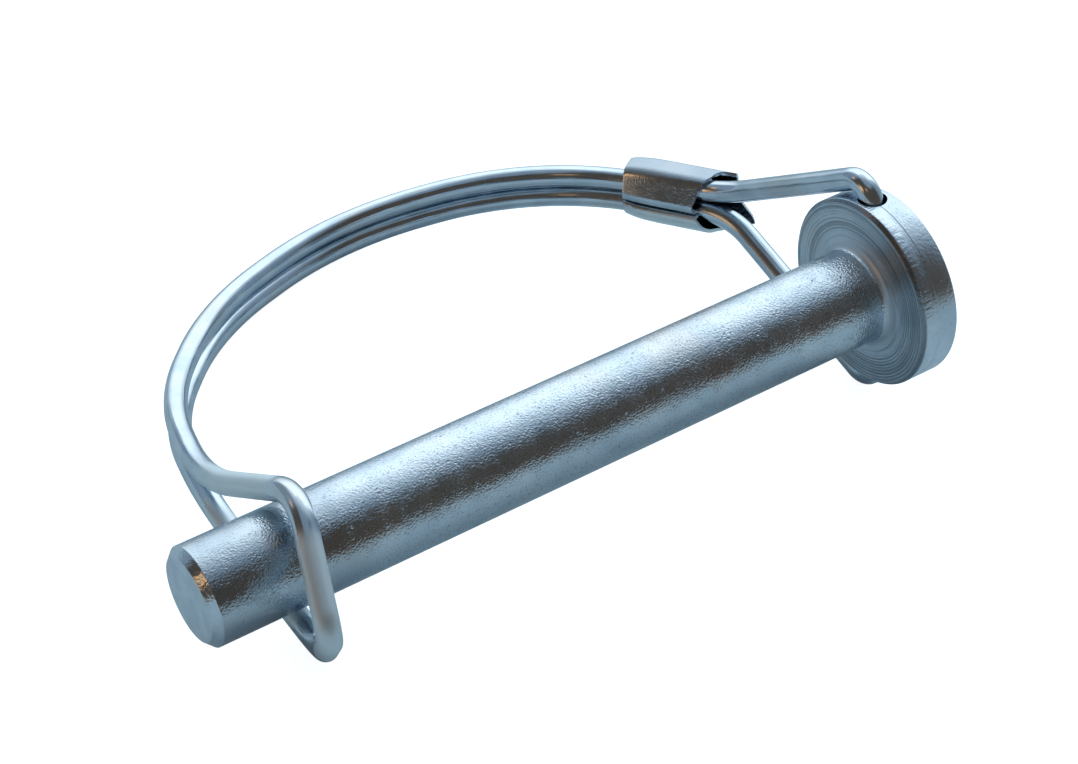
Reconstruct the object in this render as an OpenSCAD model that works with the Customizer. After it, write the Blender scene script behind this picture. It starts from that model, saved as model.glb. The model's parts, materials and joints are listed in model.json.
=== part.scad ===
// Wire-lock pin: a turned pin whose spring-wire bail hinges in a hole across
// the head, runs back beside the shank as a double strand held by a crimped
// ferrule, and ends in a loop that snaps round the shank near its tip.
// The pin lies along X with its tip towards -X, and the seat under its head is at x = 0.
// Lengths are in millimetres.

/* [Pin] */
// Diameter of the shank
shank_d = 10; // [9:0.5:12]
// Length of the shank, from the seat under the head to the flat of the tip
shank_len = 77.7; // [66:0.1:100]
// Width of the bevel round the tip
tip_bevel = 0.8; // [0.4:0.1:1.5]
// Diameter of the head
head_d = 20.4; // [19:0.2:24]
// Thickness of the head
head_t = 4.4; // [4.2:0.1:6]
// Bevel on the head's edge at the seat side
seat_bevel = 0.4; // [0.2:0.1:0.6]
// Rounding of the head's outer edge
crown_round = 0.25; // [0.1:0.05:0.6]
// Radius of the fillet between the shank and the seat
root_fillet = 0.8; // [0.4:0.1:1.2]
// Width of the turned ring outside the fillet
root_ring = 0.5; // [0.3:0.1:1]
// Height of that ring above the seat
root_step = 0.25; // [0.1:0.05:0.4]
// Depth of the fine line turned into the rim
rim_line = 0.12; // [0.05:0.01:0.2]

/* [Bail] */
// Diameter of the spring wire
wire_d = 2.4; // [2:0.1:2.8]
// Gap between the two strands
strand_gap = 0.1; // [0.05:0.05:0.3]
// How much wider the head's cross hole is than the wire
hinge_play = 0.6; // [0.4:0.1:1]
// How deep each wire end sits in the cross hole
hinge_grip = 6; // [3:0.5:7]
// How far the leg's corner stands off the head's rim
leg_rise = 2.6; // [2.2:0.1:4]
// Reach of the arc, from the pin's axis to the top corner of its outline
bail_reach = 49.1; // [40:0.1:60]
// Distance of the loop from the tip
loop_setback = 9.7; // [6:0.1:16]
// Width of the loop beyond the shank, on each side
loop_flare = 4.1; // [4:0.1:7]
// Depth of the loop's nose below the shank
loop_drop = 8.5; // [7:0.1:12]

/* [Bend radii] */
// Bend into the cross hole
hinge_bend = 2.2; // [1.8:0.1:2.6]
// Bend where a leg leaves the ferrule
leg_bend = 10; // [6:0.5:12]
// Bend where the arc begins, past the ferrule
arc_start = 27; // [20:1:28]
// Bend of the arc's top
arc_top = 35; // [25:1:36]
// Bend where the arc turns down towards the tip
arc_shoulder = 35; // [25:1:36]
// Bend where the arc comes down beside the tip
arc_end = 30; // [20:1:32]
// Bend where the strands part beside the tip
parting_bend = 24; // [8:1:26]
// Bend of the loop's two side corners
loop_corner = 4.9; // [3:0.1:6]
// Bend of the loop's nose
loop_nose = 2.2; // [1.8:0.1:3]

/* [Ferrule] */
// Thickness of the ferrule's sheet
sheet_t = 0.5; // [0.4:0.05:0.6]
// Length of the ferrule along its back
ferrule_len = 12.2; // [11:0.1:16]
// Length of the folded wings along the seam
wing_len = 8.2; // [6:0.1:9]
// How much of the sleeve's back the scooped mouth leaves at its end
tongue_t = 0.6; // [0.3:0.05:0.8]
// Clearance between the sheet and the upper strand
crimp_gap = 0.1; // [0.05:0.01:0.15]
// How much more room the lower strand has
lower_slack = 0.45; // [0.2:0.05:0.5]
// Rise of the squared corner behind the upper strand
corner_rise = 0.4; // [0:0.05:0.5]
// Width of the seam between the wings
seam_gap = 0.25; // [0.15:0.05:0.4]
// Depth of the groove that the wings roll into
seam_groove = 0.45; // [0.3:0.05:0.5]
// How far the seam lies below the middle of the strands
seam_shift = 0.8; // [0:0.1:1]

/* [Hidden] */
$fn = 64;
shank_r = shank_d / 2;
head_r = head_d / 2;
wire_r = wire_d / 2;
hole_d = wire_d + hinge_play;
hinge_x = head_t / 2;
strand_z = wire_r + strand_gap / 2;
sleeve_r = wire_r + crimp_gap + lower_slack + sheet_t;
loop_x = loop_setback - shank_len;

// ---- the bail's route, in its own plane: X along the pin, Y outwards, Z along the hinge
ferrule_x = 1.8;
ferrule_share = 0.49;
ferrule_y = bail_reach * ferrule_share;
corner_z = head_r + leg_rise;

// Upper half of the wire, from its end in the cross hole to the nose of the loop:
// each row is a corner point and the bend radius there.
half_route = [
    [[hinge_x, 0, head_r - hinge_grip], 0],
    [[hinge_x, 0, corner_z], hinge_bend],
    [[ferrule_x, ferrule_y, strand_z], leg_bend],
    [[loop_x * 0.162, bail_reach * 0.903, strand_z], arc_start],
    [[loop_x * 0.496, bail_reach, strand_z], arc_top],
    [[loop_x * 0.782, bail_reach * 0.848, strand_z], arc_shoulder],
    [[loop_x * 0.954, bail_reach * 0.584, strand_z], arc_end],
    [[loop_x - 0.4, bail_reach * 0.286, strand_z], parting_bend],
    [[loop_x + 0.85, -3.8, shank_r + loop_flare], loop_corner],
    [[loop_x - 2.8, -shank_r - loop_drop, 0], loop_nose]
];
upper = [for (p = half_route) p[0]];
bends = [for (p = half_route) p[1]];
last = len(half_route) - 1;
route = concat(upper, [for (i = [last - 1:-1:0]) [upper[i].x, upper[i].y, -upper[i].z]]);
radii = concat(bends, [for (i = [last - 1:-1:0]) bends[i]]);
// Where the straight end in the cross hole stops, a little before its bend
stub_top = corner_z - setback(1) - 0.5;
// The bent part starts this far inside the straight end, necked so that it lies wholly within it
neck_len = 0.4;
neck_share = 0.9;

wire_sides = 16;
// Largest turn, in degrees, from one ring of the swept wire to the next
bend_step = 8;

// ---- how the part lies when it is put down: on the bend below the head, the arc and the loop
on_hinge = lowest(bend_line(len(route) - 2));
on_arc = bend_line(len(route) - 5)[0];
on_loop = lowest(bend_line(last + 1));
table = unit(cross(on_loop - on_hinge, on_arc - on_hinge));
up = table.z > 0 ? table : -table;
lie_roll = atan2(-up.y, up.z);
lie_pitch = atan2(up.x, norm([up.y, up.z]));

function unit(v) = v / norm(v);
function heading(i) = unit(route[i + 1] - route[i]);
function turn(i) = acos(heading(i - 1) * heading(i));
// Distance from a corner to where its bend starts, which its two neighbours limit
function setback(i) = i == 0 || i == len(route) - 1 ? 0 : min(
    radii[i] * tan(turn(i) / 2),
    0.49 * min(norm(route[i] - route[i - 1]), norm(route[i + 1] - route[i]))
);
function bend_r(i) = setback(i) / tan(turn(i) / 2);
function lowest(points) =
    let (bottom = min([for (p = points) p.z]))
    [for (p = points) if (p.z == bottom) p][0];

// Centre line of one bend, from where it starts to where it ends
function bend_line(i) =
    let (arrive = heading(i - 1),
         inward = unit(heading(i) - arrive * (arrive * heading(i))),
         from = route[i] - arrive * setback(i),
         steps = max(2, ceil(turn(i) / bend_step)))
    [for (k = [0:steps])
        let (a = turn(i) * k / steps)
        from + bend_r(i) * (sin(a) * arrive + (1 - cos(a)) * inward)];

// Centre line of the whole wire, between the straight ends in the cross hole
function centre_line() = concat(
    [for (z = [stub_top - neck_len, stub_top + 0.15]) [hinge_x, 0, z]],
    [for (i = [1:len(route) - 2]) each bend_line(i)],
    [for (z = [stub_top + 0.15, stub_top - neck_len]) [hinge_x, 0, -z]]
);

// Rings of points round a line, each turned as little as possible from the one before
function rings(line) =
    let (n = len(line),
         step = [for (i = [0:n - 2]) unit(line[i + 1] - line[i])],
         along = [for (i = [0:n - 1]) unit(step[max(i - 1, 0)] + step[min(i, n - 2)])],
         first = unit(cross(along[0], [1, 0, 0])),
         side = [for (i = 0, s = first; i < n;
                      i = i + 1, s = i < n ? unit(s - along[i] * (along[i] * s)) : s) s])
    [for (i = [0:n - 1])
        let (other = cross(along[i], side[i]),
             r = wire_r * (i == 0 || i == n - 1 ? neck_share : 1))
        [for (k = [0:wire_sides - 1])
            let (a = 360 * k / wire_sides)
            line[i] + r * (cos(a) * side[i] + sin(a) * other)]];

module swept(line) {
    ring = rings(line);
    n = len(ring);
    m = wire_sides;
    polyhedron(
        points = [for (r = ring) each r],
        faces = concat(
            [[for (k = [0:m - 1]) k]],
            [[for (k = [m - 1:-1:0]) (n - 1) * m + k]],
            [for (i = [0:n - 2], k = [0:m - 1])
                [i * m + k, (i + 1) * m + k, (i + 1) * m + (k + 1) % m, i * m + (k + 1) % m]]
        )
    );
}

// Turns what is drawn in the bail's plane into the way the part lies
module laid() {
    rotate([-lie_roll, -lie_pitch, 0]) children();
}

module pin() {
    color("lightsteelblue") laid() difference() {
        rotate([0, 90, 0]) rotate_extrude($fn = 128) pin_profile();
        translate([hinge_x, 0, 0])
            cylinder(d = hole_d, h = head_d + 2, center = true);
    }
}

// Half section of the pin: radius across, distance along the axis upwards
module pin_profile() {
    ring_r = shank_r + root_fillet + root_ring;
    fillet = [for (a = [0:10:90])
        [shank_r + root_fillet * (1 - cos(a)), -root_step - root_fillet * (1 - sin(a))]];
    crown = [for (a = [0:15:90])
        [head_r - crown_round * (1 - cos(a)), head_t - crown_round * (1 - sin(a))]];
    line_x = head_t * 0.45;
    polygon(concat(
        [[0, -shank_len], [shank_r - tip_bevel, -shank_len], [shank_r, tip_bevel - shank_len]],
        fillet,
        [[ring_r, -root_step], [ring_r, 0], [head_r - seat_bevel, 0], [head_r, seat_bevel]],
        [[head_r, line_x - rim_line], [head_r - rim_line, line_x], [head_r, line_x + rim_line]],
        crown,
        [[0, head_t]]
    ));
}

module bail_wire() {
    color("silver") laid() {
        swept(centre_line());
        for (side = [0, 1]) mirror([0, 0, side])
            translate([hinge_x, 0, head_r - hinge_grip])
                cylinder(r = wire_r, h = stub_top - head_r + hinge_grip);
    }
}

module ferrule() {
    axis = unit(upper[3] - upper[2]);
    start = upper[2] - axis * 0.5;
    color("lightslategray") laid()
        translate([start.x, start.y, 0])
            rotate([0, 0, atan2(axis.y, axis.x) + 90])
                rotate([90, 0, 0])
                    difference() {
                        linear_extrude(ferrule_len) ferrule_section();
                        mouth();
                    }
}

// Section of the sleeve: X towards the shank, Y along the hinge
module ferrule_section() {
    difference() {
        ferrule_line(0);
        difference() {
            ferrule_line(sheet_t);
            // the edges of the two wings, rolled in until they bear on the lower strand
            translate([wire_r + 0.06, -seam_shift - seam_groove])
                square([sleeve_r, 2 * seam_groove]);
        }
        translate([0, -seam_shift - seam_gap / 2]) square([sleeve_r + 1, seam_gap]);
        translate([sleeve_r, -seam_shift])
            rotate(45) square(seam_groove * sqrt(2), center = true);
    }
}

// The sheet's outer line, or one set in from it: round below, squared at the upper back
module ferrule_line(inset) {
    corner_r = sheet_t + 0.1;
    hull() {
        translate([0, -strand_z]) circle(r = sleeve_r - inset);
        translate([0, strand_z]) circle(r = wire_r + crimp_gap + sheet_t - inset);
        translate([corner_r - sleeve_r, strand_z + wire_r + crimp_gap + sheet_t + corner_rise - corner_r])
            circle(r = corner_r - inset);
    }
}

// The scooped end, which leaves the back of the sleeve longer than its wings:
// a cylinder across it, from the end of the wings down to the tongue
module mouth() {
    depth = ferrule_len - wing_len;
    edge_x = tongue_t - sleeve_r;
    scoop_x = (pow(depth, 2) + pow(sleeve_r, 2) - pow(edge_x, 2)) / (2 * (sleeve_r - edge_x));
    translate([scoop_x, 0, 0]) rotate([90, 0, 0])
        cylinder(r = scoop_x - edge_x, h = 8 * sleeve_r, center = true);
}

pin();
bail_wire();
ferrule();
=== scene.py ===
# A wire-lock pin of bright zinc-plated steel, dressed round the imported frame.
# Shapes are drawn in millimetres in the bail's own plane (X along the pin, Y out to
# the arc, Z along the hinge) and then laid down the way the frame lies, in metres.
import bpy
import bmesh
import json
import math
from mathutils import Matrix, Vector


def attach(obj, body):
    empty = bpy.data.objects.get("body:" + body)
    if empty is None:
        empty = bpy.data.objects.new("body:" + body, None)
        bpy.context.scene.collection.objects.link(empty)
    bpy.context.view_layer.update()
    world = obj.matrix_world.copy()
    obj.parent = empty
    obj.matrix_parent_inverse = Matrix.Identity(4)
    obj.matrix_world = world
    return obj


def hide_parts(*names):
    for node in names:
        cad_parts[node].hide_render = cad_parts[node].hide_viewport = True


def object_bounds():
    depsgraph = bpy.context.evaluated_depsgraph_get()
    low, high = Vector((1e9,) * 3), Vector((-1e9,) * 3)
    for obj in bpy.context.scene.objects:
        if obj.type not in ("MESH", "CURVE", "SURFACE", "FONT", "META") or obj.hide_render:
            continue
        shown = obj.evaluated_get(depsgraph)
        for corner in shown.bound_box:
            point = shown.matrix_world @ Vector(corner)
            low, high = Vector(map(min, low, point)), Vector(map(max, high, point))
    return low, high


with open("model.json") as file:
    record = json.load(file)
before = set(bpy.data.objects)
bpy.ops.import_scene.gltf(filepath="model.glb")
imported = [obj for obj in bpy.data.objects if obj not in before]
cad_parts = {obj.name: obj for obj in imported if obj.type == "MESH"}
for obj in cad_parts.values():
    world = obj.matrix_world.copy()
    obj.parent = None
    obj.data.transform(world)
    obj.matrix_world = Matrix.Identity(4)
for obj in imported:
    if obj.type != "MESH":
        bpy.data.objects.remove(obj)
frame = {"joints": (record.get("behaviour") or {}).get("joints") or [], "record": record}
cadLow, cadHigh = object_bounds()
mm = 0.001

shankMount = next(m for m in frame["record"]["mounts"] if m["name"] == "shank")
pinAxis = -Vector(shankMount["axis"]).normalized()
hingeAxis = -Vector(frame["joints"][0]["axis"]).normalized()
lay = Matrix((pinAxis, hingeAxis.cross(pinAxis), hingeAxis)).transposed().to_4x4()
layMm = lay @ Matrix.Scale(mm, 4)


# Helpers for every node tree; an input is a socket to link or a plain value
def addNode(tree, kind, inputs=None, **settings):
    node = tree.nodes.new(kind)
    for name, value in settings.items():
        setattr(node, name, value)
    for name, value in (inputs or {}).items():
        if isinstance(value, bpy.types.NodeSocket):
            tree.links.new(value, node.inputs[name])
        else:
            node.inputs[name].default_value = value
    return node


def mathOf(tree, operation, *values):
    return addNode(tree, "ShaderNodeMath", dict(enumerate(values)), operation=operation).outputs[0]


def times(tree, a, b):
    return mathOf(tree, "MULTIPLY", a, b)


def vectorOf(tree, operation, *values, output="Vector"):
    node = addNode(tree, "ShaderNodeVectorMath", dict(enumerate(values)), operation=operation)
    return node.outputs[output]


def axisOf(tree, vector, axis):
    return addNode(tree, "ShaderNodeSeparateXYZ", {0: vector}).outputs[axis]


def joinedAxes(tree, **axes):
    return addNode(tree, "ShaderNodeCombineXYZ", axes).outputs[0]


def noiseOf(tree, vector, scale, detail, roughness=0.5):
    inputs = {"Vector": vector, "Scale": scale, "Detail": detail, "Roughness": roughness}
    return addNode(tree, "ShaderNodeTexNoise", inputs).outputs["Fac"]


def smoothBand(tree, value, low, high, toLow=0.0, toHigh=1.0):
    node = addNode(tree, "ShaderNodeMapRange", {
        "Value": value, "From Min": low, "From Max": high, "To Min": toLow, "To Max": toHigh,
    }, interpolation_type="SMOOTHSTEP")
    return node.outputs["Result"]


def mixColor(tree, share, a, b):
    inputs = {"Factor": share, "A": a, "B": b}
    return addNode(tree, "ShaderNodeMix", inputs, data_type="RGBA").outputs["Result"]


def newGroup(name, inputs, outputs):
    group = bpy.data.node_groups.new(name, "ShaderNodeTree")
    for label, kind, default in inputs:
        socket = group.interface.new_socket(name=label, in_out="INPUT", socket_type=kind)
        if default is not None:
            socket.default_value = default
    for label, kind in outputs:
        group.interface.new_socket(name=label, in_out="OUTPUT", socket_type=kind)
    return group, group.nodes.new("NodeGroupInput"), group.nodes.new("NodeGroupOutput")


def useGroup(tree, group, **inputs):
    return addNode(tree, "ShaderNodeGroup", inputs, node_tree=group)


# Where the camera stands
view = dict(
    place=(-156.447, -153.184, 161.515),    # millimetres
    ahead=(0.46934, 0.61768, -0.63103),
    upwards=(0.32319, 0.54487, 0.77373),
    lens=88.17,
    sensor=36,
    nearest=0.01,       # metres
)


def placeCamera(s):
    camera = bpy.data.objects.new("camera", bpy.data.cameras.new("camera"))
    bpy.context.scene.collection.objects.link(camera)
    back = -Vector(s["ahead"]).normalized()
    right = Vector(s["upwards"]).cross(back).normalized()
    turned = Matrix((right, back.cross(right), back)).transposed().to_4x4()
    camera.matrix_world = Matrix.Translation(Vector(s["place"]) * mm) @ turned
    camera.data.lens = s["lens"]
    camera.data.sensor_width = s["sensor"]
    camera.data.sensor_fit = "HORIZONTAL"
    camera.data.clip_start = s["nearest"]
    bpy.context.scene.camera = camera


# How the light falls: sides are degrees from +Y towards +X, halves are half widths in
# degrees, tops and rises are degrees up from level, fades are how far an edge spreads
studio = dict(
    tentSide=40,        # the middle of the white tent
    tentHalf=44,
    tentFade=6,
    tentTop=62,
    tentTopFade=(-9, 9),
    tentStrength=1.12,
    tentColor=(0.95, 1.0, 1.0),
    tentLow=(0.42, 0.48),       # below this height the tent dims, down to this share at the floor
    ceilingRise=42,
    ceilingEdge=(0.60, 0.97),   # cosines between which the soft ceiling fades in
    ceilingShare=0.5,
    roomColor=(0.22, 0.29, 0.36),
    darkSide=-142,      # the unlit side of the room, behind the camera and to its left
    darkHalf=93,
    darkFade=8,
    darkTop=63,
    darkTopFade=(-7, 5),
    darkColor=(0.078, 0.066, 0.056),
    skirtEdge=(0.02, 0.09),     # heights between which the paler skirting fades out
    skirtColor=(0.29, 0.26, 0.22),
    # warm lights on the dark side: side, rise, half width, strength
    lamps=((-76, 4, 5, 0.9), (-47, 28, 4, 1.2), (-84, 16, 7, 1.2), (-113, 39, 4, 0.8)),
    lampFade=0.5,       # as a share of the half width
    lampColor=(1.0, 0.56, 0.28),
    floorColor=(0.80, 0.95, 1.0),
    floorLift=0.90,     # what the floor adds towards the camera alone
    floorHalf=1.5,      # metres
    leastLevel=1e-4,
)


def toward(side, height):
    a, e = math.radians(side), math.radians(height)
    return Vector((math.sin(a) * math.cos(e), math.cos(a) * math.cos(e), math.sin(e)))


def dotWith(tree, vector, direction):
    return vectorOf(tree, "DOT_PRODUCT", vector, direction, output="Value")


def fadeOut(half, fade):
    return [math.cos(math.radians(half + d)) for d in (fade, -fade)]


def sector(tree, direction, level, side, half, fade):
    across = mathOf(tree, "DIVIDE", dotWith(tree, direction, toward(side, 0)), level)
    return smoothBand(tree, across, *fadeOut(half, fade))


def cone(tree, direction, side, rise, half, fade):
    return smoothBand(tree, dotWith(tree, direction, toward(side, rise)), *fadeOut(half, fade))


def underTop(tree, height, top, fade):
    return smoothBand(tree, height, *[math.sin(math.radians(top + d)) for d in fade], 1.0, 0.0)


def tentLight(tree, s, direction, height, level):
    inTent = times(tree, sector(tree, direction, level, s["tentSide"], s["tentHalf"], s["tentFade"]),
                   underTop(tree, height, s["tentTop"], s["tentTopFade"]))
    fullFrom, atFloor = s["tentLow"]
    inTent = times(tree, inTent, smoothBand(tree, height, 0.0, fullFrom, atFloor, 1.0))
    middle = dotWith(tree, direction, toward(s["tentSide"], s["ceilingRise"]))
    ceiling = smoothBand(tree, middle, *s["ceilingEdge"], 0.0, s["ceilingShare"])
    return times(tree, mathOf(tree, "MAXIMUM", inTent, ceiling), s["tentStrength"])


def roomLight(tree, s, direction, height, level):
    onDarkSide = sector(tree, direction, level, s["darkSide"], s["darkHalf"], s["darkFade"])
    dark = times(tree, onDarkSide, underTop(tree, height, s["darkTop"], s["darkTopFade"]))
    room = mixColor(tree, dark, (*s["roomColor"], 1), (*s["darkColor"], 1))
    skirt = times(tree, onDarkSide, smoothBand(tree, height, *s["skirtEdge"], 1.0, 0.0))
    room = mixColor(tree, skirt, room, (*s["skirtColor"], 1))
    for side, rise, half, strength in s["lamps"]:
        glow = [c * strength for c in s["lampColor"]]
        lit = cone(tree, direction, side, rise, half, half * s["lampFade"])
        room = mixColor(tree, lit, room, (*glow, 1))
    return room


def lightWorld(s):
    world = bpy.data.worlds.new("studio")
    bpy.context.scene.world = world
    world.use_nodes = True
    tree = world.node_tree
    tree.nodes.clear()
    direction = addNode(tree, "ShaderNodeTexCoord").outputs["Generated"]
    height = dotWith(tree, direction, (0, 0, 1))
    # the direction's reach along the level, kept off zero because it divides
    levelSquare = mathOf(tree, "SUBTRACT", 1.0, times(tree, height, height))
    level = mathOf(tree, "SQRT", mathOf(tree, "MAXIMUM", levelSquare, s["leastLevel"]))
    tent = tentLight(tree, s, direction, height, level)
    room = roomLight(tree, s, direction, height, level)
    dim = addNode(tree, "ShaderNodeBackground", {"Color": room})
    white = addNode(tree, "ShaderNodeBackground", {"Color": (*s["tentColor"], 1), "Strength": tent})
    both = addNode(tree, "ShaderNodeAddShader", {0: dim.outputs[0], 1: white.outputs[0]})
    plain = addNode(tree, "ShaderNodeBackground", {"Color": (1, 1, 1, 1)})
    seen = addNode(tree, "ShaderNodeLightPath").outputs["Is Camera Ray"]
    mixed = addNode(tree, "ShaderNodeMixShader", {0: seen, 1: both.outputs[0], 2: plain.outputs[0]})
    addNode(tree, "ShaderNodeOutputWorld", {"Surface": mixed.outputs[0]})


def layFloor(s):
    material = bpy.data.materials.new("paleFloor")
    material.use_nodes = True
    tree = material.node_tree
    tree.nodes.clear()
    matt = addNode(tree, "ShaderNodeBsdfDiffuse", {"Color": (*s["floorColor"], 1)})
    seen = addNode(tree, "ShaderNodeLightPath").outputs["Is Camera Ray"]
    lift = addNode(tree, "ShaderNodeEmission", {"Strength": times(tree, seen, s["floorLift"])})
    both = addNode(tree, "ShaderNodeAddShader", {0: matt.outputs[0], 1: lift.outputs[0]})
    addNode(tree, "ShaderNodeOutputMaterial", {"Surface": both.outputs[0]})
    half = s["floorHalf"]
    corners = [(x, y, cadLow.z) for x, y in ((-half, -half), (half, -half), (half, half), (-half, half))]
    mesh = bpy.data.meshes.new("floor")
    mesh.from_pydata(corners, [], [(0, 1, 2, 3)])
    mesh.materials.append(material)
    floor = bpy.data.objects.new("floor", mesh)
    bpy.context.scene.collection.objects.link(floor)


placeCamera(view)
lightWorld(studio)
layFloor(studio)
print("camera, light and floor in place")


# Finishes that several materials share
def acrossAxis(tree, place):
    parts = addNode(tree, "ShaderNodeSeparateXYZ", {0: place})
    return joinedAxes(tree, Y=parts.outputs["Y"], Z=parts.outputs["Z"])


def lengthOf(tree, vector):
    return vectorOf(tree, "LENGTH", vector, output="Value")


grainShape = dict(
    fineDetail=1.5,
    broadScale=0.8, broadDetail=3.0, broadShare=0.4,
    patchEdge=(0.38, 0.60), patchRange=(0.6, 1.1),      # the grain is coarser in some patches
    pitScale=1.3, pitEdge=(0.06, 0.20), pitPatch=(0.45, 0.60),
    speckEdge=(0.10, 0.24),
)


def makeGrainGroup(s):
    group, given, result = newGroup("peenedGrain", [
        ("Vector", "NodeSocketVector", None),
        ("Grain", "NodeSocketFloat", 4.2),
        ("Stretch", "NodeSocketFloat", 0.5),
        ("Pits", "NodeSocketFloat", 0.45),
    ], [("Height", "NodeSocketFloat"), ("Specks", "NodeSocketFloat")])
    stretch = joinedAxes(group, X=given.outputs["Stretch"], Y=1.0, Z=1.0)
    along = vectorOf(group, "MULTIPLY", given.outputs["Vector"], stretch)
    fine = noiseOf(group, along, given.outputs["Grain"], s["fineDetail"])
    broad = noiseOf(group, along, s["broadScale"], s["broadDetail"])
    patchy = smoothBand(group, broad, *s["patchEdge"], *s["patchRange"])
    raised = times(group, mathOf(group, "SUBTRACT", fine, 0.5), patchy)
    pits = addNode(group, "ShaderNodeTexVoronoi", {"Vector": along, "Scale": s["pitScale"]})
    pitted = times(group, smoothBand(group, pits.outputs["Distance"], *s["pitEdge"], 1.0, 0.0),
                   smoothBand(group, broad, *s["pitPatch"]))
    height = mathOf(group, "SUBTRACT", mathOf(group, "MULTIPLY_ADD", broad, s["broadShare"], raised),
                    times(group, pitted, given.outputs["Pits"]))
    specks = mathOf(group, "MAXIMUM", pitted, smoothBand(group, raised, *s["speckEdge"]))
    group.links.new(height, result.inputs["Height"])
    group.links.new(specks, result.inputs["Specks"])
    return group


ringShape = dict(
    roundSpread=0.35,   # how much a line changes on its way round
    scale=0.8, detail=2.0,
    push=9.0,           # how far the noise pushes the even lines about
    waveShare=0.16,
    toneEdge=(0.35, 0.68),
)


def makeRingGroup(s):
    group, given, result = newGroup("turnedRings", [
        ("Vector", "NodeSocketVector", None),
        ("Lines", "NodeSocketFloat", 5.0),
    ], [("Height", "NodeSocketFloat"), ("Tone", "NodeSocketFloat"), ("Radius", "NodeSocketFloat")])
    flat = acrossAxis(group, given.outputs["Vector"])
    radius = lengthOf(group, flat)
    lines = times(group, radius, given.outputs["Lines"])
    spot = vectorOf(group, "MULTIPLY", vectorOf(group, "NORMALIZE", flat), (s["roundSpread"],) * 3)
    where = vectorOf(group, "ADD", spot, joinedAxes(group, X=lines))
    uneven = noiseOf(group, where, s["scale"], s["detail"])
    turn = times(group, lines, 2 * math.pi)
    wave = mathOf(group, "SINE", mathOf(group, "MULTIPLY_ADD", uneven, s["push"], turn))
    marks = mathOf(group, "MULTIPLY_ADD", wave, s["waveShare"], uneven)
    group.links.new(marks, result.inputs["Height"])
    group.links.new(smoothBand(group, marks, *s["toneEdge"]), result.inputs["Tone"])
    group.links.new(radius, result.inputs["Radius"])
    return group


toneShape = dict(
    driftDetail=4.0, driftEdge=(0.35, 0.65),
    fumeScale=0.11, fumeDetail=2.0, fumeEdge=(0.5, 0.72), fumeMost=0.6,
    grimeAndPaintedShade=(0.20, 0.24, 0.28, 1),
)


def makeToneGroup(s):
    group, given, result = newGroup("zincTone", [
        ("Vector", "NodeSocketVector", None),
        ("Scale", "NodeSocketFloat", 0.25),
        ("Light", "NodeSocketColor", (0.68, 0.78, 0.87, 1)),
        ("Deep", "NodeSocketColor", (0.58, 0.69, 0.79, 1)),
        ("Warm", "NodeSocketColor", (0.65, 0.67, 0.68, 1)),
        ("Dark", "NodeSocketFloat", 0.0),
    ], [("Color", "NodeSocketColor")])
    drift = noiseOf(group, given.outputs["Vector"], given.outputs["Scale"], s["driftDetail"])
    fume = noiseOf(group, given.outputs["Vector"], s["fumeScale"], s["fumeDetail"])
    base = mixColor(group, smoothBand(group, drift, *s["driftEdge"]),
                    given.outputs["Light"], given.outputs["Deep"])
    fumed = smoothBand(group, fume, *s["fumeEdge"], 0.0, s["fumeMost"])
    tinted = mixColor(group, fumed, base, given.outputs["Warm"])
    # Dark mixes towards this colour, for grime, specks and nicks and for painted shade
    dimmed = mixColor(group, given.outputs["Dark"], tinted, s["grimeAndPaintedShade"])
    group.links.new(dimmed, result.inputs["Color"])
    return group


grainGroup = makeGrainGroup(grainShape)
ringGroup = makeRingGroup(ringShape)
toneGroup = makeToneGroup(toneShape)


def pinCoordinates(tree):
    unturned = lay.to_3x3().inverted().to_euler()
    point = addNode(tree, "ShaderNodeTexCoord").outputs["Object"]
    mapping = addNode(tree, "ShaderNodeMapping", {"Vector": point, "Rotation": unturned,
                                                  "Scale": (1 / mm, 1 / mm, 1 / mm)})
    return mapping.outputs["Vector"]


def startMaterial(name):
    material = bpy.data.materials.new(name)
    material.use_nodes = True
    tree = material.node_tree
    tree.nodes.clear()
    shader = addNode(tree, "ShaderNodeBsdfPrincipled", {"Metallic": 1.0})
    addNode(tree, "ShaderNodeOutputMaterial", {"Surface": shader.outputs[0]})
    return material, tree, shader


def linkZinc(tree, shader, place, **values):
    tone = useGroup(tree, toneGroup, Vector=place, **values)
    tree.links.new(tone.outputs["Color"], shader.inputs["Base Color"])


def linkBump(tree, shader, height, distance, over=None):
    bump = addNode(tree, "ShaderNodeBump", {"Height": height, "Distance": distance * mm})
    if over is not None:
        tree.links.new(over, bump.inputs["Normal"])
    tree.links.new(bump.outputs[0], shader.inputs["Normal"])
    return bump.outputs[0]


# The pin's four finishes; reliefs and places are in millimetres, scales are per millimetre
tipLook = dict(
    toneScale=0.6, grain=4.0, stretch=1.0, relief=0.03,
    bevelEdge=(4.1, 4.3),       # radii between which the end gives way to the bevel
    bevelRough=0.12, endRough=0.34,
)


def tipZinc(look):
    material, tree, shader = startMaterial("tipZinc")
    place = pinCoordinates(tree)
    linkZinc(tree, shader, place, Scale=look["toneScale"])
    # the turned bevel shines, the sawn end is matt
    radius = lengthOf(tree, acrossAxis(tree, place))
    bevel = smoothBand(tree, radius, *look["bevelEdge"])
    rough = mathOf(tree, "MULTIPLY_ADD", bevel, look["bevelRough"] - look["endRough"], look["endRough"])
    tree.links.new(rough, shader.inputs["Roughness"])
    grain = useGroup(tree, grainGroup, Vector=place, Grain=look["grain"], Stretch=look["stretch"])
    linkBump(tree, shader, grain.outputs["Height"], look["relief"])
    return material


shankLook = dict(
    grain=5.4, stretch=0.8, relief=0.064,
    heightRange=(-0.1, 0.4), rough=(0.12, 0.17),
    speckShade=0.35, dustScale=5.0, dustDetail=2.0, dustEdge=(0.54, 0.68), dustShade=0.5,
    tipEnd=(-66, -58),      # along the pin, where the painted shade on the tip end fades out
    # how much darker the tip end is painted, as painted shade
    tipPaintedShade=0.28, dullBeyond=0.05,
)


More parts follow.
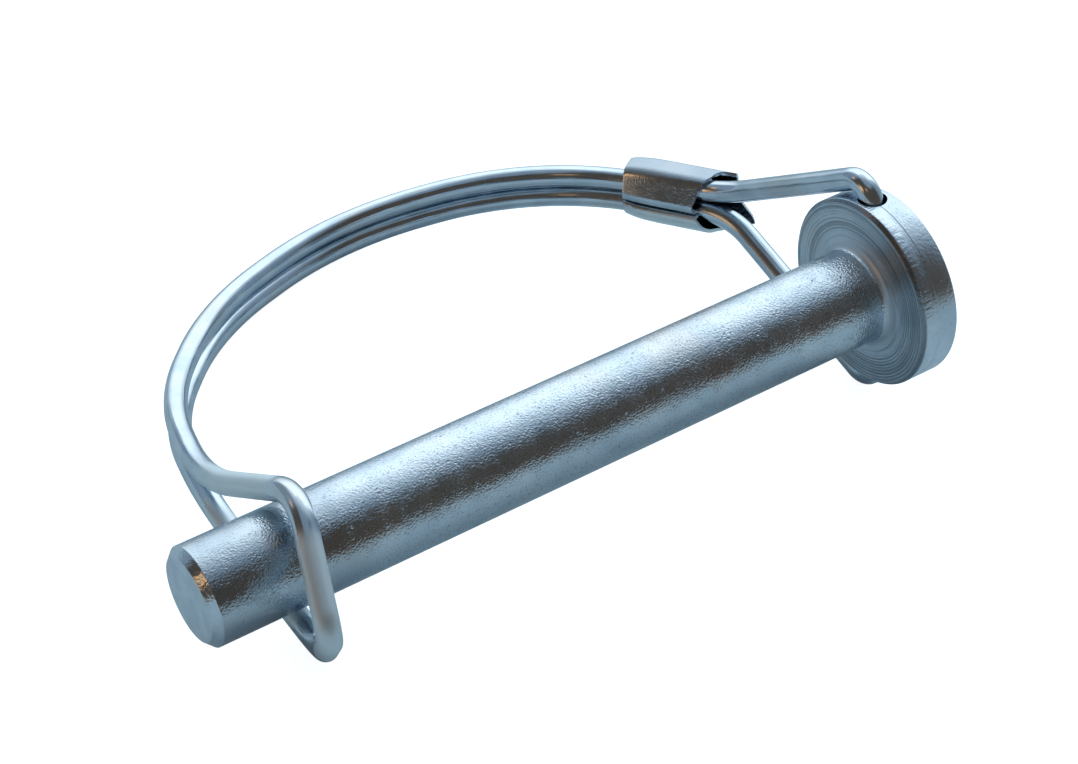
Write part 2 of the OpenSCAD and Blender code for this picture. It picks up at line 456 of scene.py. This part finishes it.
def shankZinc(look):
    material, tree, shader = startMaterial("shankZinc")
    place = pinCoordinates(tree)
    grain = useGroup(tree, grainGroup, Vector=place, Grain=look["grain"], Stretch=look["stretch"])
    dust = noiseOf(tree, place, look["dustScale"], look["dustDetail"])
    speckle = mathOf(tree, "ADD", times(tree, grain.outputs["Specks"], look["speckShade"]),
                     smoothBand(tree, dust, *look["dustEdge"], 0.0, look["dustShade"]))
    # painted shade: the end towards the tip is painted a shade darker, and it keeps more of its shine
    beyond = smoothBand(tree, axisOf(tree, place, "X"), *look["tipEnd"])
    shade = mathOf(tree, "MULTIPLY_ADD", beyond, -look["tipPaintedShade"], look["tipPaintedShade"])
    linkZinc(tree, shader, place, Dark=mathOf(tree, "MAXIMUM", speckle, shade))
    rough = smoothBand(tree, grain.outputs["Height"], *look["heightRange"], *look["rough"])
    duller = mathOf(tree, "MULTIPLY_ADD", beyond, look["dullBeyond"], rough)
    tree.links.new(duller, shader.inputs["Roughness"])
    linkBump(tree, shader, grain.outputs["Height"], look["relief"])
    return material


seatLook = dict(
    lines=3.0, relief=0.11,
    ringEdge=(6.6, 7.3),    # radii between which the plain ring gives way to turning marks
    toneEdge=(0.1, 0.9), markShade=(0.08, 0.60),
    ringRough=0.46, markRough=0.32, ringRelief=0.2,
)


def seatZinc(look):
    material, tree, shader = startMaterial("seatZinc")
    place = pinCoordinates(tree)
    rings = useGroup(tree, ringGroup, Vector=place, Lines=look["lines"])
    outside = smoothBand(tree, rings.outputs["Radius"], *look["ringEdge"])
    marks = smoothBand(tree, rings.outputs["Tone"], *look["toneEdge"], *look["markShade"])
    linkZinc(tree, shader, place, Dark=times(tree, outside, marks))
    rough = mathOf(tree, "MULTIPLY_ADD", outside, look["markRough"] - look["ringRough"], look["ringRough"])
    tree.links.new(rough, shader.inputs["Roughness"])
    deep = mathOf(tree, "MULTIPLY_ADD", outside, 1 - look["ringRelief"], look["ringRelief"])
    linkBump(tree, shader, times(tree, rings.outputs["Height"], deep), look["relief"])
    return material


rimLook = dict(
    grain=3.0, stretch=1.2, pits=0.7, relief=0.035, rough=0.27, speckShade=0.3,
    nickEdge=(0.28, 0.45), nickShade=0.85,      # the nicked and grimy corner beside the seat
    chatterFrom=(0.3, 0.6), chatterTo=(0.9, 1.7), chatterRelief=0.07,   # along the pin, beside that corner
    chatterStretch=(0.6, 3.0, 3.0), chatterScale=1.0, chatterDetail=1.0,
)


def rimZinc(look):
    material, tree, shader = startMaterial("rimZinc")
    place = pinCoordinates(tree)
    grain = useGroup(tree, grainGroup, Vector=place, Grain=look["grain"], Stretch=look["stretch"],
                     Pits=look["pits"])
    along = axisOf(tree, place, "X")
    nicked = smoothBand(tree, along, *look["nickEdge"], look["nickShade"], 0.0)
    specks = times(tree, grain.outputs["Specks"], look["speckShade"])
    linkZinc(tree, shader, place, Dark=mathOf(tree, "ADD", specks, nicked))
    shader.inputs["Roughness"].default_value = look["rough"]
    grainy = linkBump(tree, shader, grain.outputs["Height"], look["relief"])
    # short marks along the pin, where the cutter chattered beside the seat's edge
    squeezed = vectorOf(tree, "MULTIPLY", place, look["chatterStretch"])
    marks = noiseOf(tree, squeezed, look["chatterScale"], look["chatterDetail"])
    beside = times(tree, smoothBand(tree, along, *look["chatterFrom"]),
                   smoothBand(tree, along, *look["chatterTo"], 1.0, 0.0))
    linkBump(tree, shader, times(tree, marks, beside), look["chatterRelief"], grainy)
    return material


# The pin: a turned profile in four zones, each with its own finish
pinSize = dict(
    shankD=10, shankLen=77.7, tipBevel=0.8, edge=0.1,
    headD=20.4, headT=4.4, seatBevel=0.4, crownRound=0.25, crownSteps=5,
    rootFillet=0.8, rootRing=0.5, rootStep=0.25, filletSteps=10,
    rimLine=0.05, rimLineEdge=0.02,
    rimLinePlace=0.45,          # a share of the head's thickness
    holeD=3.0, holeSides=72, cutterSpare=4,
    # how far the shank's finish runs up the fillet, and the seat's down its bevel, as shares
    shankFinishTo=0.5, seatFinishTo=0.3,
    longest=1.3, segments=288, sharpFrom=32,
)
pinZones = ("tip", "shank", "seat", "rim")


def arcPoints(centre, radius, fromDeg, toDeg, steps):
    spread = [math.radians(fromDeg + (toDeg - fromDeg) * k / steps) for k in range(steps + 1)]
    return [(centre[0] + radius * math.cos(a), centre[1] + radius * math.sin(a)) for a in spread]


# Corners are (along, radius, edge radius); a flat beside an edge gets a supporting point
def roundedEdges(corners, support=0.05, mostOfSide=0.45):
    line = [corners[0][:2]]
    for i in range(1, len(corners) - 1):
        x, r, edge = corners[i]
        if edge == 0:
            line.append((x, r))
            continue
        point = Vector((x, r))
        back, ahead = Vector(corners[i - 1][:2]) - point, Vector(corners[i + 1][:2]) - point
        half = (math.pi - back.angle(ahead)) / 2
        reach = min(edge * math.tan(half), mostOfSide * back.length, mostOfSide * ahead.length)
        a, b = point + back.normalized() * reach, point + ahead.normalized() * reach
        if back.length > reach + 3 * support:
            line.append(tuple(a + back.normalized() * support))
        line += [tuple(a.lerp(point, t).lerp(point.lerp(b, t), t)) for t in (0, 0.25, 0.5, 0.75, 1)]
        if ahead.length > reach + 3 * support:
            line.append(tuple(b + ahead.normalized() * support))
    line.append(corners[-1][:2])
    return line


def splitLong(line, longest):
    out = [line[0]]
    for (x, y), (u, v) in zip(line[:-1], line[1:]):
        parts = max(1, math.ceil(math.dist((x, y), (u, v)) / longest))
        out += [(x + (u - x) * k / parts, y + (v - y) * k / parts) for k in range(1, parts + 1)]
    return out


def pinProfile(s):
    shankR, headR = s["shankD"] / 2, s["headD"] / 2
    ringR = shankR + s["rootFillet"] + s["rootRing"]
    lineX, line, lineEdge = s["headT"] * s["rimLinePlace"], s["rimLine"], s["rimLineEdge"]
    step, fillet, crown, seat = s["rootStep"], s["rootFillet"], s["crownRound"], s["seatBevel"]
    tipX, bevel, edge = -s["shankLen"], s["tipBevel"], s["edge"]
    root = arcPoints((-step - fillet, shankR + fillet), fillet, -90, 0, s["filletSteps"])
    shoulder = arcPoints((s["headT"] - crown, headR - crown), crown, 90, 0, s["crownSteps"])
    corners = [(tipX, 0.0, 0), (tipX, shankR - bevel, edge), (tipX + bevel, shankR, edge)]
    corners += [(x, r, 0) for x, r in root]
    corners += [(-step, ringR, edge), (0.0, ringR, edge), (0.0, headR - seat, edge), (seat, headR, edge)]
    corners += [(lineX - line, headR, lineEdge), (lineX, headR - line, lineEdge),
                (lineX + line, headR, lineEdge)]
    corners += [(x, r, 0) for x, r in shoulder]
    corners += [(s["headT"], 0.0, 0)]
    profile = splitLong(roundedEdges(corners), s["longest"])
    zones = []
    for (x, r), (u, v) in zip(profile[:-1], profile[1:]):
        middle, out = (x + u) / 2, (r + v) / 2
        if middle < tipX + bevel:
            zones.append("tip")
        elif middle < -step - s["shankFinishTo"] * fillet:
            zones.append("shank")
        elif middle < s["seatFinishTo"] * seat and out < headR - s["seatFinishTo"] * seat:
            zones.append("seat")
        else:
            zones.append("rim")
    return profile, zones


def revolve(bm, profile, zones, segments, nearAxis=1e-6):
    turns = [2 * math.pi * k / segments for k in range(segments)]
    rows = []
    for x, r in profile:
        ring = [(x, r * math.cos(a), r * math.sin(a)) for a in turns] if r > nearAxis else [(x, 0, 0)]
        rows.append([bm.verts.new(p) for p in ring])
    for zone, a, b in zip(zones, rows[:-1], rows[1:]):
        for k in range(segments):
            n = (k + 1) % segments
            if len(a) == 1:
                face = bm.faces.new((a[0], b[n], b[k]))
            elif len(b) == 1:
                face = bm.faces.new((a[k], a[n], b[0]))
            else:
                face = bm.faces.new((a[k], a[n], b[n], b[k]))
            face.material_index = pinZones.index(zone)
    bmesh.ops.recalc_face_normals(bm, faces=bm.faces)


def finishMesh(obj, sharpDeg):
    obj.data.shade_smooth()
    obj.data.set_sharp_from_angle(angle=math.radians(sharpDeg))


def linkObject(name, mesh):
    obj = bpy.data.objects.new(name, mesh)
    bpy.context.scene.collection.objects.link(obj)
    return obj


def meshFrom(bm, name):
    mesh = bpy.data.meshes.new(name)
    bm.to_mesh(mesh)
    bm.free()
    return mesh


def applyModifiers(obj):
    graph = bpy.context.evaluated_depsgraph_get()
    mesh = bpy.data.meshes.new_from_object(obj.evaluated_get(graph))
    obj.modifiers.clear()
    obj.data = mesh


def makeCutter(s):
    bm = bmesh.new()
    radius = s["holeD"] / 2
    bmesh.ops.create_cone(bm, cap_ends=True, segments=s["holeSides"], radius1=radius, radius2=radius,
                          depth=s["headD"] + s["cutterSpare"],
                          matrix=Matrix.Translation((s["headT"] / 2, 0, 0)))
    return linkObject("holeCutter", meshFrom(bm, "holeCutter"))


def makePin(s):
    profile, zones = pinProfile(s)
    bm = bmesh.new()
    revolve(bm, profile, zones, s["segments"])
    pin = linkObject("pinBody", meshFrom(bm, "pinBody"))
    finishes = dict(tip=tipZinc(tipLook), shank=shankZinc(shankLook), seat=seatZinc(seatLook),
                    rim=rimZinc(rimLook))
    for zone in pinZones:
        pin.data.materials.append(finishes[zone])
    cutter = makeCutter(s)
    cut = pin.modifiers.new("crossHole", "BOOLEAN")
    cut.object = cutter
    cut.solver = "EXACT"
    applyModifiers(pin)
    bpy.data.objects.remove(cutter)
    pin.data.transform(layMm)
    finishMesh(pin, s["sharpFrom"])
    return pin


pinBody = makePin(pinSize)
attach(pinBody, "pin")
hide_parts("pin")
print("pin body made:", len(pinBody.data.polygons), "faces")


# The bail wire, swept along its route from one end in the cross hole to the other
wireSize = dict(
    wireD=2.4, sides=36, bendPoints=16, sharpFrom=60,
    alongUnit=25,       # millimetres of wire to one unit of the drawn lines' coordinate
    # upper half of the wire, from its end to the loop's nose: corner points, each with its bend radius
    halfRoute=(
        ((2.2, 0, 4.2), 0),
        ((2.2, 0, 12.8), 2.2),
        ((1.8, 24.06, 1.25), 10),
        ((-11.02, 44.34, 1.25), 27),
        ((-33.73, 49.1, 1.25), 35),
        ((-53.18, 41.64, 1.25), 35),
        ((-64.87, 28.67, 1.25), 30),
        ((-68.4, 14.04, 1.25), 24),
        ((-67.15, -3.8, 9.1), 4.9),
        ((-70.8, -13.5, 0), 2.2),
    ),
    crimpCorner=2,      # the corner in this list where the strands meet and the ferrule starts
)
wireLook = dict(
    toneScale=0.35, lineScale=3.0, lineDetail=3.0, relief=0.03,
    # where the matt of the legs fades out, and where it returns and ends between the two
    # bends, in the drawn lines' units from the nose
    legDull=(0.30, 0.42), strandDull=(0.60, 0.68, 1.10, 1.35),
    dullRough=0.58, brightRough=0.17, lineEdge=(0.3, 0.7), lineRough=0.04,
    frost=(0.84, 0.95, 1.0, 1), frostShare=0.9,
)


def wireZinc(look):
    material, tree, shader = startMaterial("wireZinc")
    tone = useGroup(tree, toneGroup, Vector=pinCoordinates(tree), Scale=look["toneScale"])
    drawn = addNode(tree, "ShaderNodeAttribute", attribute_name="wireCoord").outputs["Vector"]
    lines = noiseOf(tree, drawn, look["lineScale"], look["lineDetail"])
    # the loop's legs and the two lengths beyond its corners are frosted, the corners shine
    fromNose = mathOf(tree, "ABSOLUTE", axisOf(tree, drawn, "Z"))
    start, whole, fade, end = look["strandDull"]
    beyond = times(tree, smoothBand(tree, fromNose, start, whole),
                   smoothBand(tree, fromNose, fade, end, 1.0, 0.0))
    dull = mathOf(tree, "MAXIMUM", beyond, smoothBand(tree, fromNose, *look["legDull"], 1.0, 0.0))
    color = mixColor(tree, times(tree, dull, look["frostShare"]), tone.outputs["Color"], look["frost"])
    tree.links.new(color, shader.inputs["Base Color"])
    rough = mathOf(tree, "ADD", smoothBand(tree, dull, 0.0, 1.0, look["brightRough"], look["dullRough"]),
                   smoothBand(tree, lines, *look["lineEdge"], -look["lineRough"], look["lineRough"]))
    tree.links.new(rough, shader.inputs["Roughness"])
    linkBump(tree, shader, lines, look["relief"])
    return material


def limitedRadii(points, radii, mostOfSide=0.49):
    limited = [0.0] * len(points)
    for i in range(1, len(points) - 1):
        back, ahead = points[i - 1] - points[i], points[i + 1] - points[i]
        half = (math.pi - back.angle(ahead)) / 2
        reach = min(radii[i] * math.tan(half), mostOfSide * min(back.length, ahead.length))
        limited[i] = reach / math.tan(half)
    return limited


def storeAttribute(tree, geometry, name, value, kind):
    node = addNode(tree, "GeometryNodeStoreNamedAttribute", {
        "Geometry": geometry, "Name": name, "Value": value,
    }, data_type=kind, domain="POINT")
    return node.outputs[0]


def namedAttribute(tree, name, kind):
    return addNode(tree, "GeometryNodeInputNamedAttribute", {"Name": name}, data_type=kind).outputs[0]


def sweepTree(alongUnit):
    tree = bpy.data.node_groups.new("sweptWire", "GeometryNodeTree")
    for label, kind in (("Route", "Geometry"), ("Radius", "Float"), ("Sides", "Int"), ("Bend Points", "Int"),
                        ("Material", "Material")):
        tree.interface.new_socket(name=label, in_out="INPUT", socket_type="NodeSocket" + kind)
    tree.interface.new_socket(name="Wire", in_out="OUTPUT", socket_type="NodeSocketGeometry")
    given = tree.nodes.new("NodeGroupInput").outputs
    result = tree.nodes.new("NodeGroupOutput")
    curve = addNode(tree, "GeometryNodeMeshToCurve", {"Mesh": given["Route"]}).outputs[0]
    fillet = addNode(tree, "GeometryNodeFilletCurve", {
        "Curve": curve, "Radius": namedAttribute(tree, "bendRadius", "FLOAT"), "Count": given["Bend Points"],
    }, mode="POLY").outputs[0]
    # length from the loop's nose, so that drawn lines run along the wire
    share = addNode(tree, "GeometryNodeSplineParameter").outputs["Factor"]
    whole = addNode(tree, "GeometryNodeSplineLength").outputs["Length"]
    fromNose = times(tree, mathOf(tree, "SUBTRACT", share, 0.5), whole)
    path = storeAttribute(tree, fillet, "alongWire", times(tree, fromNose, 1 / alongUnit), "FLOAT")
    ring = addNode(tree, "GeometryNodeCurvePrimitiveCircle", {"Resolution": given["Sides"],
                                                              "Radius": given["Radius"]}).outputs[0]
    onRing = addNode(tree, "GeometryNodeInputPosition").outputs[0]
    section = storeAttribute(tree, ring, "roundWire", onRing, "FLOAT_VECTOR")
    swept = addNode(tree, "GeometryNodeCurveToMesh", {"Curve": path, "Profile Curve": section,
                                                      "Fill Caps": True}).outputs[0]
    around = addNode(tree, "ShaderNodeSeparateXYZ", {0: namedAttribute(tree, "roundWire", "FLOAT_VECTOR")})
    drawn = joinedAxes(tree, X=around.outputs["X"], Y=around.outputs["Y"],
                       Z=namedAttribute(tree, "alongWire", "FLOAT"))
    marked = storeAttribute(tree, swept, "wireCoord", drawn, "FLOAT_VECTOR")
    real = addNode(tree, "GeometryNodeRealizeInstances", {"Geometry": marked}).outputs[0]
    painted = addNode(tree, "GeometryNodeSetMaterial", {"Geometry": real, "Material": given["Material"]})
    tree.links.new(painted.outputs[0], result.inputs[0])
    return tree


def setInputs(modifier, values):
    for item in modifier.node_group.interface.items_tree:
        if item.item_type == "SOCKET" and item.in_out == "INPUT" and item.name in values:
            modifier[item.identifier] = values[item.name]


def makeWire(s):
    upper = [Vector(point) for point, bend in s["halfRoute"]]
    bends = [bend for point, bend in s["halfRoute"]]
    points = upper + [Vector((p.x, p.y, -p.z)) for p in reversed(upper[:-1])]
    radii = limitedRadii(points, bends + bends[-2::-1])
    mesh = bpy.data.meshes.new("bailWire")
    mesh.from_pydata(points, [(i, i + 1) for i in range(len(points) - 1)], [])
    mesh.attributes.new("bendRadius", "FLOAT", "POINT").data.foreach_set("value", radii)
    wire = linkObject("bailWire", mesh)
    sweep = wire.modifiers.new("sweep", "NODES")
    sweep.node_group = sweepTree(s["alongUnit"])
    setInputs(sweep, {"Radius": s["wireD"] / 2, "Sides": s["sides"], "Bend Points": s["bendPoints"],
                      "Material": wireZinc(wireLook)})
    applyModifiers(wire)
    wire.data.transform(layMm)
    finishMesh(wire, s["sharpFrom"])
    return wire


bailWire = makeWire(wireSize)
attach(bailWire, "bail")
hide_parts("bail_wire")
print("bail wire swept:", len(bailWire.data.polygons), "faces")


# The ferrule: a folded sheet whose wings meet at a seam, with a scooped mouth.
# Across its section, out is towards the shank and rise is along the hinge.
ferruleSize = dict(
    sheet=0.42, setBack=0.5,
    length=12.2, wings=8.2,     # along its back and along the seam
    lowerR=2.25, lowerEnd=352, lowerSteps=30,       # the lower round, and the degree where it meets its lip
    cornerR=0.9, cornerAt=(-1.35, 2.45), browR=1.45, browAt=(0.05, 1.8), upperSteps=10,
    cheek=(2.24, 0.15),         # where the flat folded face ends
    seamAt=-0.8, seamGap=0.25, lipRise=0.45,
    # the wings' edges roll in to the seam: how far out from the dip, and how far from the seam
    upperLip=((0, 0), (0.18, 0.05), (0.34, 0.22), (0.42, 0.50)),
    lowerLip=((0.36, 0.30), (0.24, 0.1), (0, 0)),
    tongue=0.6,                 # what is left of the section, from its back, at the tongue's very end
    tilt=4.0,                   # degrees: the crimp sits askew on the strands
    slant=(0.30, 0.35, 0.20),   # the mouth's edge leans: above, below, and more towards the tongue
    pinch=0.12, pinchPower=4,   # the end away from the head is drawn in by this share of its size
    longest=0.3, rows=40,
    edgeRound=0.12, edgeSegments=3, edgeFrom=50, sharpFrom=45,
)
ferruleLook = dict(
    grain=4.6, stretch=1.0, relief=0.026, speckShade=0.2, leastShade=0.12,
    lobeFrom=(-0.7, -1.3), crestFrom=(2.6, 3.1),    # millimetres above the strands' middle
    # the crest at the top is painted darker by a share, as painted shade
    mattRough=0.40, foldRough=0.15, crestPaintedShade=0.38, lobeFrost=(0.88, 0.97, 1.0, 1), lobeShare=0.8,
    # the inside's colour is painted shade, nearly black
    inside=(0.045, 0.06, 0.08, 1), insideRough=0.22, insideGrain=2.0, insideRelief=0.10,
)


def ferruleZinc(look):
    material, tree, shader = startMaterial("ferruleZinc")
    place = pinCoordinates(tree)
    grain = useGroup(tree, grainGroup, Vector=place, Grain=look["grain"], Stretch=look["stretch"])
    # the lobe under the seam and the crest are matt, the folded face between them shines
    rise = axisOf(tree, place, "Z")
    lobe = smoothBand(tree, rise, *look["lobeFrom"])
    crest = smoothBand(tree, rise, *look["crestFrom"])
    speckle = mathOf(tree, "MULTIPLY_ADD", grain.outputs["Specks"], look["speckShade"], look["leastShade"])
    # painted shade: the crest at the top is painted darker
    dark = mathOf(tree, "MAXIMUM", times(tree, crest, look["crestPaintedShade"]), speckle)
    tone = useGroup(tree, toneGroup, Vector=place, Dark=dark)
    color = mixColor(tree, times(tree, lobe, look["lobeShare"]), tone.outputs["Color"], look["lobeFrost"])
    tree.links.new(color, shader.inputs["Base Color"])
    matt = mathOf(tree, "MAXIMUM", lobe, crest)
    rough = smoothBand(tree, matt, 0.0, 1.0, look["foldRough"], look["mattRough"])
    tree.links.new(rough, shader.inputs["Roughness"])
    linkBump(tree, shader, grain.outputs["Height"], look["relief"])
    return material


def ferruleInsideWithPaintedShade(look):
    material, tree, shader = startMaterial("ferruleInsideWithPaintedShade")
    # painted shade: the inside of the folded sheet is painted nearly black
    shader.inputs["Base Color"].default_value = look["inside"]
    shader.inputs["Roughness"].default_value = look["insideRough"]
    grain = useGroup(tree, grainGroup, Vector=pinCoordinates(tree), Grain=look["insideGrain"],
                     Stretch=look["stretch"])
    linkBump(tree, shader, grain.outputs["Height"], look["insideRelief"])
    return material


def sheetLine(s, strandZ):
    brow, corner, cheek = Vector(s["browAt"]), Vector(s["cornerAt"]), Vector(s["cheek"])
    # the flat face runs from the brow down to the cheek
    reach, between = cheek - brow, corner - brow
    facet = math.atan2(reach.y, reach.x) + math.acos(s["browR"] / reach.length)
    toCorner = math.atan2(between.y, between.x) - math.acos((s["browR"] - s["cornerR"]) / between.length)
    above, below = s["seamAt"] + s["seamGap"] / 2, s["seamAt"] - s["seamGap"] / 2
    dip, inner = s["lowerR"] - s["lipRise"], s["lowerR"] - 2 * s["lipRise"]
    line = [(inner, above)] + [(dip + out, above + off) for out, off in s["upperLip"]] + [tuple(cheek)]
    line += arcPoints(brow, s["browR"], math.degrees(facet), math.degrees(toCorner), s["upperSteps"])
    line += arcPoints(corner, s["cornerR"], math.degrees(toCorner), 180, s["upperSteps"])
    line += arcPoints((0, -strandZ), s["lowerR"], 180, s["lowerEnd"], s["lowerSteps"])
    line += [(dip + out, below - off) for out, off in s["lowerLip"]] + [(inner, below)]
    return line


# How far along the ferrule its mouth's edge lies: scooped back to the wings, the tongue left long
def mouthAt(s, out, rise):
    deep, edge = s["length"] - s["wings"], s["tongue"] - s["lowerR"]
    middle = (deep ** 2 + s["lowerR"] ** 2 - edge ** 2) / (2 * (s["lowerR"] - edge))
    scoop = math.sqrt(max(0.0, (middle - edge) ** 2 - (out - middle) ** 2))
    above, below, atTongue = s["slant"]
    above *= min(1, max(0, 1 - out / s["cornerAt"][0]))
    return scoop - above * max(rise, 0) + (below + atTongue * max(0, -out)) * min(rise, 0)


def sheetGrid(s, bm, start, axis):
    towardShank = Vector((-axis.y, axis.x, 0))
    if towardShank.y > 0:
        towardShank = -towardShank
    origin = Vector((start.x, start.y, 0)) - axis * s["setBack"]
    lean = math.tan(math.radians(s["tilt"]))
    grid = []
    for out, rise in splitLong(sheetLine(s, start.z), s["longest"]):
        mouth = mouthAt(s, out, rise)
        row = []
        for k in range(s["rows"] + 1):
            t = mouth + (s["length"] - mouth) * k / s["rows"]
            fromMiddle = 2 * t / s["length"] - 1
            full = 1 - s["pinch"] * max(0, fromMiddle) ** s["pinchPower"]
            lifted = Vector((0, 0, rise * full + lean * (t - s["length"] / 2)))
            row.append(bm.verts.new(origin + axis * t + towardShank * out * full + lifted))
        grid.append(row)
    return grid


def makeFerrule(s):
    crimp = wireSize["crimpCorner"]
    start, onward = [Vector(point) for point, bend in wireSize["halfRoute"][crimp:crimp + 2]]
    bm = bmesh.new()
    grid = sheetGrid(s, bm, start, (onward - start).normalized())
    for a, b in zip(grid[:-1], grid[1:]):
        for k in range(s["rows"]):
            bm.faces.new((a[k], a[k + 1], b[k + 1], b[k]))
    bmesh.ops.recalc_face_normals(bm, faces=bm.faces)
    ferrule = linkObject("foldedFerrule", meshFrom(bm, "foldedFerrule"))
    ferrule.data.materials.append(ferruleZinc(ferruleLook))
    ferrule.data.materials.append(ferruleInsideWithPaintedShade(ferruleLook))
    thick = ferrule.modifiers.new("sheet", "SOLIDIFY")
    thick.thickness = s["sheet"]
    thick.offset = -1
    # the inner faces take the material with the painted shade
    thick.material_offset = 1
    edge = ferrule.modifiers.new("rolledEdges", "BEVEL")
    edge.width = s["edgeRound"]
    edge.segments = s["edgeSegments"]
    edge.limit_method = "ANGLE"
    edge.angle_limit = math.radians(s["edgeFrom"])
    applyModifiers(ferrule)
    ferrule.data.transform(layMm)
    finishMesh(ferrule, s["sharpFrom"])
    return ferrule


foldedFerrule = makeFerrule(ferruleSize)
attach(foldedFerrule, "bail")
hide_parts("ferrule")
print("ferrule folded:", len(foldedFerrule.data.polygons), "faces")

bpy.context.scene.view_settings.view_transform = "Standard"
